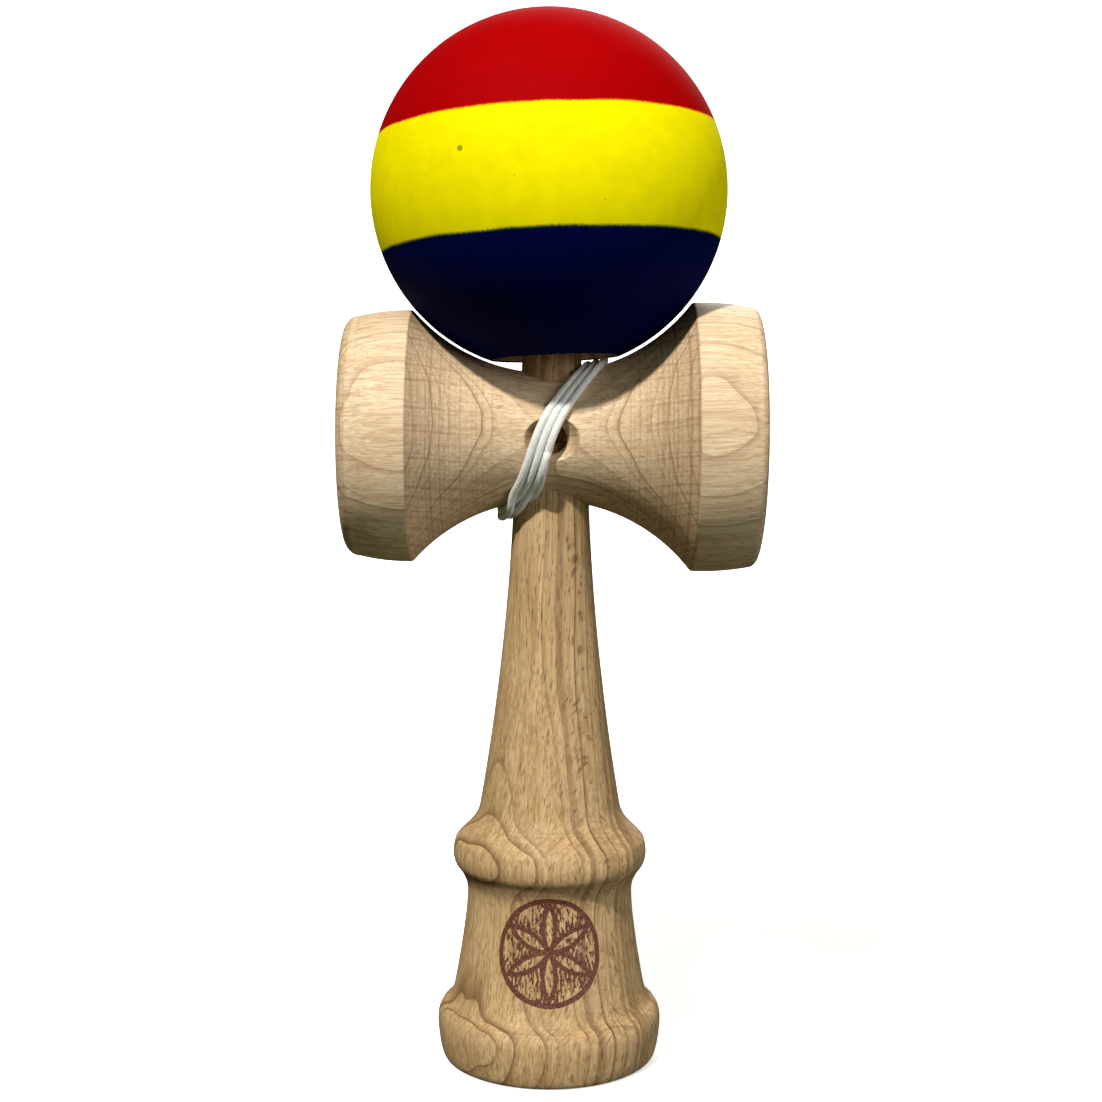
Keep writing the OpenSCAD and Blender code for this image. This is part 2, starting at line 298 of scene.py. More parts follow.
def makeSarado():
    s = sarado
    ends = []
    for side, ridgeR, crown, lip in ((-1, s["smallRidgeR"], s["smallCrown"], s["smallLip"]),
                                     (1, s["bigRidgeR"], s["bigCrown"], s["bigLip"])):
        shoulder = side * (s["half"] - lip)
        x = np.linspace(ridgeAt(ridgeR, side), shoulder, 24)
        outside = np.stack([crownRadius(x, ridgeR, crown), x], 1)
        rim = arc((outside[-1, 0] - lip, shoulder), lip, 0, 90 * side, 10)
        cup = cupEnd(*(s["smallCup"] if side < 0 else s["bigCup"]), side)
        ends.append(np.vstack([outside, rim[1:], cup]))
    x = np.linspace(ends[0][0, 1], ends[1][0, 1], 150)[1:-1]
    outline = np.vstack([ends[0][::-1], np.stack([waistRadius(x), x], 1), ends[1]])
    along = Matrix(((0, 0, 1, 0), (1, 0, 0, 0), (0, 1, 0, 0), (0, 0, 0, 1)))   # turns the lathe's axis onto X
    middle = Matrix.Translation((0, 0, s["axisZ"] * mm))
    piece = turned("crosspiece_turned", eased(outline, s["eased"]), s["steps"], middle @ along @ upright)
    reach = 20  # the bore's cutter ends above and below the waist
    low, high = s["axisZ"] - reach, s["axisZ"] + reach
    lowR = ken["neckR"] + ken["taper"] * (ken["neckZ"] - low) + s["boreLoose"]
    bore = [[0, low], [lowR, low], [lowR - ken["taper"] * (high - low), high], [0, high]]
    cutAway(piece, turned("bore", bore, 128, upright))
    past = 1    # the 45 degree bevel goes on out of the wood by this much
    out, mouth = s["waistR"] + past, s["bevelR"] + past
    straight = out - (mouth - s["stringHoleR"])
    hole = [[0, -out], [mouth, -out], [s["stringHoleR"], -straight],
            [s["stringHoleR"], straight], [mouth, out], [0, out]]
    cutAway(piece, turned("holes", hole, 96, middle @ frontToBack @ upright))
    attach(piece, "handle")
    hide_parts("sarado")
    return piece


# Ball, in mm from its middle, measured out from and up along its own axis
spin = next(j for j in frame["joints"] if j["name"] == "ball_spin")
ballMiddle, ballAxis = Vector(spin["pos_m"]), Vector(spin["axis"]).normalized()
ballPlace = Matrix.Translation(ballMiddle) @ ballAxis.to_track_quat("Z", "Y").to_matrix().to_4x4() @ upright
stripeLow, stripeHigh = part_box("paint_yellow")
ball = {
    "radius": (stripeHigh.x - stripeLow.x) / 2 / mm,
    "paint": 0.3,
    "stripeHalf": 9.6,
    "boreR": 9,
    "boreTop": 20.3,
    "boreLow": -25.9,      # where the bevelled rim meets the bore
    "boreEased": 0.8,
    "rimR": 11,
    "holeR": 1.4,
    "mouthR": 5,           # where the string hole's rounded mouth would lie flat
    "mouthZ": 25.95,
    "steps": 288,
}


def onSphere(r, low, high, steps):
    # From one height to another on a sphere of that radius, in even steps of angle
    a = np.linspace(math.asin(low / r), math.asin(high / r), steps + 1)
    return np.stack([r * np.cos(a), r * np.sin(a)], 1)


def bevelMeets(r):
    # The bevel is a 45 degree cone through the rim, so where it meets a sphere solves a quadratic
    lean = ball["rimR"] - math.sqrt(ball["radius"] ** 2 - ball["rimR"] ** 2)
    z = (lean - math.sqrt(2 * r * r - lean * lean)) / 2
    return [lean - z, z]


def mouthCurve(r):
    # The string hole's rounded mouth, a quarter circle from the sphere of that radius down to the straight
    # hole. Its steps are small, so that the first point kept lies on the sphere.
    bend = ball["mouthR"] - ball["holeR"]
    a = np.linspace(0, math.pi / 2, 400)
    curve = np.stack([ball["mouthR"] - bend * np.cos(a), ball["mouthZ"] + bend * np.sin(a)], 1)
    return curve[np.hypot(curve[:, 0], curve[:, 1]) <= r][::-1]


def makeBall():
    outer, inner = ball["radius"], ball["radius"] - ball["paint"]
    coreMouth, paintMouth = mouthCurve(inner)[::16], mouthCurve(outer)[:1]
    low, top = bevelMeets(inner), coreMouth[0, 1]
    core = np.vstack([
        onSphere(inner, low[1], top, 160), coreMouth[1:],
        [[ball["holeR"], ball["mouthZ"]], [ball["holeR"], ball["boreTop"]],
         [ball["boreR"] - ball["boreEased"], ball["boreTop"]],
         [ball["boreR"], ball["boreTop"] - ball["boreEased"]], [ball["boreR"], ball["boreLow"]]]])
    pieces = [turned("ball_wood", core, ball["steps"], ballPlace)]
    half = ball["stripeHalf"]
    bands = (
        ("blue", bevelMeets(outer)[1], -half, bevelMeets(inner)[1], -half),
        ("yellow", -half, half, -half, half),
        ("red", half, paintMouth[0, 1], half, top),
    )
    for colour, outLow, outHigh, inLow, inHigh in bands:
        shell = np.vstack([onSphere(outer, outLow, outHigh, 60),
                           onSphere(inner, inLow, inHigh, 60)[::-1]])
        pieces.append(turned("coat_" + colour, shell, ball["steps"], ballPlace))
    nodes = ("ball", "paint_blue", "paint_yellow", "paint_red")
    slots = ("beech_ball", "blue_rubber_paint", "yellow_rubber_paint", "red_rubber_paint")
    for piece, node, slot in zip(pieces, nodes, slots):
        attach(piece, "ball")
        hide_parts(node)
    return pieces


# Bead inside the ball, in mm along the ball's axis
bead = {"radius": 4.5, "height": 15.5, "holeR": 1.1, "recessR": 2.3, "recessTop": 13}


def makeBead():
    b = bead
    low = -math.sqrt(b["radius"] ** 2 - b["recessR"] ** 2)
    high = math.sqrt(b["radius"] ** 2 - b["holeR"] ** 2)
    outline = onSphere(b["radius"], low, high, 40) + [0, b["height"]]
    inside = [[b["holeR"], b["recessTop"]], [b["recessR"], b["recessTop"]]]
    piece = turned("bead_turned", np.vstack([outline, inside]), 96, ballPlace)
    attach(piece, "bead")
    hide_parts("bead")
    return piece


# String, in mm. Its routes are the part's own, and the turns between them are worked out.
string = {
    "thick": 1.3,
    "exitRoute": [[0, 7.4, 108.1], [0, 4, 108.1], [0, 0, 108.1], [0, -4, 108.1], [0, -7, 108],
                  [-0.1, -9.2, 107.5], [-0.4, -10.9, 106.4], [-0.9, -11.6, 104.9], [-1.4, -10.9, 102.6],
                  [-1.9, -8.9, 100.4]],
    "runRoute": [[-5.1, 13.4, 108], [-4.9, 16.8, 114.4], [-4.6, 20.2, 120.9], [-4.4, 23.7, 127.5],
                 [-4.2, 27.2, 134.6], [-3.9, 29.7, 141.2], [-3.6, 30.8, 148.2], [-3.4, 30.3, 155.2],
                 [-3.1, 28.3, 161.8], [-2.8, 24.8, 167.9], [-2.5, 20, 173.1], [-2.3, 14.2, 177],
                 [-2.1, 9.7, 178.8], [-2, 6.4, 179.7], [-1.9, 4, 179.2], [-1.8, 2.1, 177.5],
                 [-1.7, 1.4, 175.2], [-1.6, 1.2, 172.2], [-1.5, 1.1, 169.2], [-1.2, 0.7, 162]],
    "firstTurn": 234,      # degrees round the waist: 0 is behind, 90 on top, 180 in front, 270 below
    "lastTurn": 1412,
    "turnStep": 6,
    "turnGap": 1.4,        # from one turn to the next
    "offWood": 0.05,       # between the first layer and the waist
    "climb": 1.15,         # how much further out the second layer lies
    "pileX": 0.85,         # where the pile below the waist lies
    "pileFrom": (228, 24), # degrees where the turns start to pile up, and over which they do
    "pileTo": (326, 28),   # the same for where they spread again, counted back
    "strands": 5,          # of the braid, each way round
    "pitch": 5.5,          # length in which a strand goes once round
    "relief": 0.085,       # how far the strands stand up
    "pullFrom": 13.4,      # above the waist's axis, where the string starts to follow the ball
    "pullTo": 0.5,         # above the stripe's lower edge, where it follows the ball fully
    "ring": 0.13,          # length of one step along the cord
    "sides": 24,
    "sharpFrom": 75,       # degrees
}


def windingPoints():
    # A slanted loop round the waist. With a the angle round it, the loop's place along the waist is
    # -0.4 + 7.1 sin a + 0.5 cos a + 0.8 sin 2a - 0.5 sin 3a + 0.4 cos 3a, and each turn lies one gap beside
    # the last. Below the waist they pile up beside the handle, two and two: the odd turns climb onto the
    # even ones.
    s = string
    a = np.arange(s["firstTurn"], s["lastTurn"] + 1, float(s["turnStep"]))
    rad = np.radians(a)
    turn = (a - 180) / 360
    count = np.floor((a - 90) / 360)
    rise = np.clip((a % 360 - s["pileFrom"][0]) / s["pileFrom"][1], 0, 1)
    fall = np.clip((s["pileTo"][0] - a % 360) / s["pileTo"][1], 0, 1)
    pile = rise ** 2 * (3 - 2 * rise) * fall ** 2 * (3 - 2 * fall)
    loop = (-0.4 + 7.1 * np.sin(rad) + 0.5 * np.cos(rad) + 0.8 * np.sin(2 * rad)
            - 0.5 * np.sin(3 * rad) + 0.4 * np.cos(3 * rad))
    beside = s["turnGap"] * (2 - turn)
    piled = s["pileX"] - s["thick"] * (count >= 2)
    x = loop + (1 - pile) * beside + pile * piled
    layer = (count % 2) * np.sin(pile * math.pi / 2)
    r = waistRadius(x) + s["offWood"] + s["thick"] / 2 + s["climb"] * layer
    return np.stack([x, r * np.cos(rad), sarado["axisZ"] + r * np.sin(rad)], 1)


def tube(name, line, along, sides, radius, aside, closed=False):
    # Rings at middle + radius(s, a) * (u cos a + v sin a), with s the length along the line. u is across both
    # the line and the direction aside, which the line never follows, and v is across the line and u. The two
    # ends close in poles, or the last ring joins the first.
    ends = np.vstack([line[-1:], line, line[:1]]) if closed else line
    step = np.gradient(ends, axis=0)[1:-1] if closed else np.gradient(ends, axis=0)
    step /= np.linalg.norm(step, axis=1, keepdims=True)
    u = np.cross(step, aside)
    u /= np.linalg.norm(u, axis=1, keepdims=True)
    v = np.cross(step, u)
    a = np.arange(sides) * 2 * math.pi / sides
    r = radius(along[:, None], a[None])[:, :, None]
    ring = u[:, None] * np.cos(a)[:, None] + v[:, None] * np.sin(a)[:, None]
    points = (line[:, None] + r * ring).reshape(-1, 3)
    n = len(line)
    i = np.arange(n if closed else n - 1)[:, None] * sides
    j = np.arange(sides)[None]
    k, above = (j + 1) % sides, (i + sides) % (n * sides)
    faces = np.stack([i + j, i + k, above + k, above + j], 2).reshape(-1, 4).tolist()
    if not closed:
        last = (n - 1) * sides
        points = np.vstack([points, line[:1], line[-1:]])
        faces += np.stack([np.full(sides, n * sides), k[0], j[0]], 1).tolist()
        faces += np.stack([last + j[0], last + k[0], np.full(sides, n * sides + 1)], 1).tolist()
    piece = meshPiece(name, points * mm, faces, string["sharpFrom"])
    # its UV map is the part of a turn round the cord and the mm along it
    uv = piece.data.uv_layers.new(name="UVMap")
    corners = np.zeros(len(piece.data.loops), np.int32)
    piece.data.loops.foreach_get("vertex_index", corners)
    around = np.where(corners < n * sides, corners % sides / sides, 0.5)
    where = np.append(np.repeat(along, sides), [along[0], along[-1]])[corners]
    uv.data.foreach_set("uv", np.stack([around, where], 1).astype(np.float32).ravel())
    return piece


def braid(s, a):
    # Strands go round both ways as cosines of strands * (turn +- length / pitch), and pass over and under
    # each other by turns. The surface is the upper strand's.
    n, p = string["strands"], string["pitch"]
    right, left = n * a / (2 * math.pi) + n * s / p, n * a / (2 * math.pi) - n * s / p
    overRight = np.cos(math.pi * left) * np.cos(math.pi * np.round(right))
    overLeft = -np.cos(math.pi * right) * np.cos(math.pi * np.round(left))
    high = np.maximum(np.sqrt(np.abs(np.cos(math.pi * right))) * (0.65 + 0.35 * overRight),
                      np.sqrt(np.abs(np.cos(math.pi * left))) * (0.65 + 0.35 * overLeft))
    return string["thick"] / 2 + string["relief"] * (high - 0.85)


def makeString():
    route = np.vstack([string["exitRoute"], windingPoints(), string["runRoute"]])
    line, along = evenly(throughPoints(route, 12), string["ring"])
    piece = tube("string_braided", line, along, string["sides"], braid, (1, 0, 0))
    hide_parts("string_exit", "string_wrap", "string_run")
    print(f"string {along[-1]:.0f} mm long")
    return piece


# Knots, in mm
knot = {"radius": 1.8, "thick": 1.1, "sides": 20}


def knotRadius(s, a):
    # The same braid, pulled thinner
    return braid(s, a) - (string["thick"] - knot["thick"]) / 2


def makeKnot(name, node, turn, body):
    # An overhand knot drawn tight: the trefoil (sin t + 2 sin 2t, cos t - 2 cos 2t, -1.6 sin 3t)
    t = np.linspace(0, 2 * math.pi, 160)
    turn = np.array(turn)
    low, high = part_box(node)
    middle = (low + high) / 2 / mm
    size = (knot["radius"] - knot["thick"] / 2) / 3
    trefoil = [np.sin(t) + 2 * np.sin(2 * t), np.cos(t) - 2 * np.cos(2 * t), -1.6 * np.sin(3 * t)]
    line, along = evenly(size * np.stack(trefoil, 1) @ turn.T + np.array(middle), string["ring"])
    piece = tube(name, line[:-1], along[:-1], knot["sides"], knotRadius, turn[:, 2], closed=True)
    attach(piece, body)
    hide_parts(node)
    return piece


# The string and its knots are made before the wood that they go through
kenKnot = makeKnot("knot_behind_handle", "ken_knot", Matrix.Rotation(math.pi / 2, 3, "X"), "handle")
beadKnot = makeKnot("knot_under_bead", "bead_knot", Matrix.Rotation(0.4, 3, "Y"), "bead")
stringPiece = makeString()
kenPiece = makeKen()
saradoPiece = makeSarado()
ballWood, coatBlue, coatYellow, coatRed = makeBall()
beadPiece = makeBead()
print("pieces made")


# Materials

def addNode(tree, kind, inputs=None, out=0, **settings):
    # One node with its settings. inputs maps a socket's name or number to a value or to a node's output.
    node = tree.nodes.new("ShaderNode" + kind)
    for name, value in settings.items():
        setattr(node, name, value)
    for name, value in (inputs or {}).items():
        if isinstance(value, bpy.types.NodeSocket):
            tree.links.new(value, node.inputs[name])
        else:
            node.inputs[name].default_value = value
    return node if out is None else node.outputs[out]


def newMaterial(name):
    material = bpy.data.materials.new(name)
    material.use_nodes = True
    tree = material.node_tree
    tree.nodes.clear()
    return material, tree


def finishMaterial(tree, colour, roughness, height, depth, **fixed):
    # The shader, with a bump of that depth in metres, and uniform values straight on its sockets
    bump = addNode(tree, "Bump", {"Height": height, "Distance": depth, "Strength": 1.0})
    shader = addNode(tree, "BsdfPrincipled", {"Base Color": colour, "Roughness": roughness, "Normal": bump,
                                              **fixed}, out=None)
    output = addNode(tree, "OutputMaterial", out=None)
    tree.links.new(shader.outputs[0], output.inputs[0])


def put(piece, material):
    piece.data.materials.clear()
    piece.data.materials.append(material)


# Beech, turned on a lathe and fine sanded, with no lacquer: a pale, warm, nearly matte wood. Its growth rings
# are fine darker lines, and its rays show as short dark flecks along the grain. End grain is darker. Lengths
# are in mm, and every depth is the share of the darker colour.
handleBeech = {
    "middle": (0, 0, 50),            # a point in the piece
    "pith": 62,                      # how far that point lies from the middle of the log
    "radial": (-0.80, -0.60, 0),     # which way is out from the log's middle
    "grain": (0.03, 0.02, 1),        # which way the fibres run
    "turningAxis": 2,                # the lathe's axis: 0 is X, 2 is Z
    "wander": 0.9,                   # how uneven the rings are
    "ringGap": 2.6, "ringDepth": 1.0,
    "fleckSize": (5, 0.45, 4.4), "fleckShare": 1.0, "fleckDepth": 0.64,
    "markDepth": 0.25, "endDepth": 0.1, "endBreadth": 3.2, "rayDepth": 0.3,
    "pale": "#dabb8d", "deep": "#a37c4d", "fleck": "#64401f", "endGrain": "#9c7848",
}
crossBeech = {
    "middle": (0, 0, 108), "pith": 70, "radial": (0, -0.985, 0.174), "grain": (1, 0, 0.015),
    "turningAxis": 0, "wander": 0.6,
    "ringGap": 1.35, "ringDepth": 0.75,
    "fleckSize": (20, 0.6, 3.6), "fleckShare": 0.6, "fleckDepth": 0.45,
    "markDepth": 0.42, "endDepth": 0.28, "endBreadth": 1.4, "rayDepth": 0.36,
    "pale": "#f7e0bc", "deep": "#c9a37b", "fleck": "#7c5432", "endGrain": "#ab8864",
}
burn = {
    "height": 22.5,        # of the rosette's middle
    "surfaceR": 15.2,      # the base's radius there
    "ringR": 8.7, "petalR": 8.0,
    "line": 0.44,          # half of a line's width
    "shake": 0.42,         # how unsteady the iron was
    "dark": "#4a2619", "brown": "#7d4a3b",
}


def rosettePlane(tree, place):
    # The base's front laid flat: across is the angle round the base times its radius, up is the height from
    # the rosette's middle. The second output tells how far in front of the axis the point is.
    parts = addNode(tree, "SeparateXYZ", {0: place}, out=None).outputs
    forward = addNode(tree, "Math", {0: parts[1], 1: -1.0}, operation="MULTIPLY")
    angle = addNode(tree, "Math", {0: parts[0], 1: forward}, operation="ARCTAN2")
    across = addNode(tree, "Math", {0: angle, 1: burn["surfaceR"]}, operation="MULTIPLY")
    up = addNode(tree, "Math", {0: parts[2], 1: burn["height"]}, operation="SUBTRACT")
    flat = addNode(tree, "CombineXYZ", {0: across, 1: up, 2: 0.0})
    shake = addNode(tree, "TexNoise", {"Vector": flat, "Scale": 2.6, "Detail": 3.0}, out=1)
    shake = addNode(tree, "VectorMath", {0: shake, 1: (0.5, 0.5, 0.5)}, operation="SUBTRACT")
    shake = addNode(tree, "VectorMath", {0: shake, 3: burn["shake"]}, operation="SCALE")
    flat = addNode(tree, "VectorMath", {0: flat, 1: shake}, operation="ADD")
    flat = addNode(tree, "VectorMath", {0: flat, 1: (1, 1, 0)}, operation="MULTIPLY")
    return flat, forward


def burntRosette(tree, place):
    # A six-petalled rosette in a ring, burnt into the base. One petal is drawn, and folded into six round the
    # middle. It is the lens where two circles of the petal's own length overlap.
    flat, forward = rosettePlane(tree, place)
    far = addNode(tree, "VectorMath", {0: flat}, operation="LENGTH", out=1)
    parts = addNode(tree, "SeparateXYZ", {0: flat}, out=None).outputs
    bearing = addNode(tree, "Math", {0: parts[0], 1: parts[1]}, operation="ARCTAN2")
    fold = addNode(tree, "Math", {0: bearing, 1: math.pi / 6}, operation="PINGPONG")
    corner = addNode(tree, "CombineXYZ", {0: addNode(tree, "Math", {0: fold}, operation="COSINE"),
                                          1: addNode(tree, "Math", {0: fold}, operation="SINE"), 2: 0.0})
    corner = addNode(tree, "VectorMath", {0: corner, 3: far}, operation="SCALE")
    size = burn["petalR"]
    lens = addNode(tree, "VectorMath", {0: corner, 1: (size / 2, -size * math.sqrt(3) / 2, 0)},
                   operation="DISTANCE", out=1)
    inside = addNode(tree, "Math", {0: size, 1: lens}, operation="SUBTRACT")
    edge = addNode(tree, "Math", {0: inside}, operation="ABSOLUTE")
    line = addNode(tree, "MapRange", {"Value": edge, "From Min": burn["line"],
                                      "From Max": burn["line"] - 0.12})
    # the iron's short strokes: sparse within a petal, and dense just outside it
    streaks = addNode(tree, "VectorMath", {0: flat, 1: (2.8, 0.8, 1)}, operation="MULTIPLY")
    streaks = addNode(tree, "TexNoise", {"Vector": streaks, "Scale": 1.0, "Detail": 3.0})
    sparse = addNode(tree, "MapRange", {"Value": streaks, "From Min": 0.55, "From Max": 0.59})
    petal = addNode(tree, "Math", {0: inside, 1: 0.0}, operation="GREATER_THAN")
    sparse = addNode(tree, "Math", {0: sparse, 1: petal}, operation="MULTIPLY")
    dense = addNode(tree, "Math", {0: inside, 1: 0.05, 2: streaks}, operation="MULTIPLY_ADD")
    dense = addNode(tree, "MapRange", {"Value": dense, "From Min": 0.43, "From Max": 0.46})
    offRing = addNode(tree, "Math", {0: far, 1: burn["ringR"]}, operation="SUBTRACT")
    within = addNode(tree, "Math", {0: offRing, 1: -0.4}, operation="LESS_THAN")
    dense = addNode(tree, "Math", {0: dense, 1: within}, operation="MULTIPLY")
    dense = addNode(tree, "Math", {0: dense, 1: petal}, operation="SUBTRACT", use_clamp=True)
    offRing = addNode(tree, "Math", {0: offRing}, operation="ABSOLUTE")
    ring = addNode(tree, "MapRange", {"Value": offRing, "From Min": burn["line"] + 0.06,
                                      "From Max": burn["line"] - 0.06})
    mark = sparse
    for part in (dense, line, ring):
        mark = addNode(tree, "Math", {0: mark, 1: part}, operation="MAXIMUM")
    front = addNode(tree, "Math", {0: forward, 1: 0.0}, operation="GREATER_THAN")
    nearby = addNode(tree, "Math", {0: far, 1: burn["ringR"] + 2}, operation="LESS_THAN")
    mark = addNode(tree, "Math", {0: mark, 1: front}, operation="MULTIPLY")
    return addNode(tree, "Math", {0: mark, 1: nearby}, operation="MULTIPLY")


def burntIn(tree, inMm, colour, height):
    # The rosette over the wood's colour and height: brown, uneven along the grain, and pressed in
    mark = burntRosette(tree, inMm)
    grain = addNode(tree, "VectorMath", {0: inMm, 1: (2, 2, 5)}, operation="MULTIPLY")
    grain = addNode(tree, "TexNoise", {"Vector": grain, "Scale": 1.0, "Detail": 3.0})
    char = addNode(tree, "MapRange", {"Value": grain, "From Min": 0.35, "From Max": 0.65})
    char = addNode(tree, "Mix", {0: char, 6: linear(burn["dark"]), 7: linear(burn["brown"])}, out=2,
                   data_type="RGBA")
    colour = addNode(tree, "Mix", {0: mark, 6: colour, 7: char}, out=2, data_type="RGBA")
    height = addNode(tree, "Math", {0: mark, 1: -3.0, 2: height}, operation="MULTIPLY_ADD")
    return colour, height


def logAxes(tree, inMm, wood):
    # The place in the log, in mm: out from its pith, along its rings, and along its grain. A slow drift makes
    # the rings wander.
    along = Vector(wood["grain"]).normalized()
    side = along.cross(Vector(wood["radial"]).normalized()).normalized()
    turn = Matrix((side.cross(along), side, along))
    move = Vector((wood["pith"], 0, 0)) - turn @ Vector(wood["middle"])
    log = addNode(tree, "Mapping", {"Vector": inMm, "Rotation": turn.to_euler(), "Location": move})
    slow = addNode(tree, "VectorMath", {0: log, 1: (1 / 13, 1 / 13, 1 / 48)}, operation="MULTIPLY")
    drift = addNode(tree, "TexNoise", {"Vector": slow, "Scale": 1.0, "Detail": 2.0}, out=1)
    drift = addNode(tree, "VectorMath", {0: drift, 1: (0.5, 0.5, 0.5)}, operation="SUBTRACT")
    drift = addNode(tree, "VectorMath", {0: drift, 3: 4 * wood["wander"]}, operation="SCALE")
    grown = addNode(tree, "VectorMath", {0: log, 1: drift}, operation="ADD")
    return slow, grown


def yearLines(tree, grown, crossing, wood):
    # Wide and narrow years, each ending in a darker line of its own strength. The line is the year's part,
    # from 0 to 1, to a power that falls where the fibres are cut across, so that it is broader there.
    across = addNode(tree, "VectorMath", {0: grown, 1: (1, 1, 0)}, operation="MULTIPLY")
    depth = addNode(tree, "VectorMath", {0: across}, operation="LENGTH", out=1)
    uneven = addNode(tree, "TexNoise", {"W": depth, "Scale": 0.31, "Detail": 1.0}, noise_dimensions="1D")
    years = addNode(tree, "Math", {0: depth, 1: 1 / wood["ringGap"]}, operation="MULTIPLY")
    years = addNode(tree, "Math", {0: uneven, 1: 2.4, 2: years}, operation="MULTIPLY_ADD")
    part = addNode(tree, "Math", {0: years}, operation="FRACT")
    number = addNode(tree, "Math", {0: years}, operation="FLOOR")
    strength = addNode(tree, "TexWhiteNoise", {"W": number}, noise_dimensions="1D")
    strength = addNode(tree, "MapRange", {"Value": strength, "To Min": 0.4, "To Max": 1.0})
    power = addNode(tree, "Math", {0: crossing, 1: -wood["endBreadth"], 2: 5.0}, operation="MULTIPLY_ADD")
    line = addNode(tree, "Math", {0: part, 1: power}, operation="POWER")
    fade = addNode(tree, "MapRange", {"Value": part, "From Min": 1.0, "From Max": 0.975})
    line = addNode(tree, "Math", {0: line, 1: fade}, operation="MULTIPLY")
    return addNode(tree, "Math", {0: line, 1: strength}, operation="MULTIPLY")


def rayFlecks(tree, grown, wood):
    # Rays are thin sheets: far out from the pith, a few mm along the grain, and very thin across. They are
    # drawn as stretched cells in three sizes, each as strong as chance makes it.
    share = wood["fleckShare"]
    flecks = 0.0
    for size in (1.0, 0.7, 0.45):
        cells = [1 / (size * side) for side in wood["fleckSize"]]
        cells = addNode(tree, "VectorMath", {0: grown, 1: cells}, operation="MULTIPLY")
        ray = addNode(tree, "TexVoronoi", {"Vector": cells, "Scale": 1.0}, out=None).outputs
        inside = addNode(tree, "MapRange", {"Value": ray["Distance"], "From Min": 0.27, "From Max": 0.12})
        chance = addNode(tree, "SeparateXYZ", {0: ray["Color"]})
        shown = addNode(tree, "MapRange", {"Value": chance, "From Min": 1 - share,
                                           "From Max": 1.2 - 0.7 * share})
        fleck = addNode(tree, "Math", {0: inside, 1: shown}, operation="MULTIPLY")
        flecks = addNode(tree, "Math", {0: fleck, 1: flecks}, operation="MAXIMUM")
    return flecks


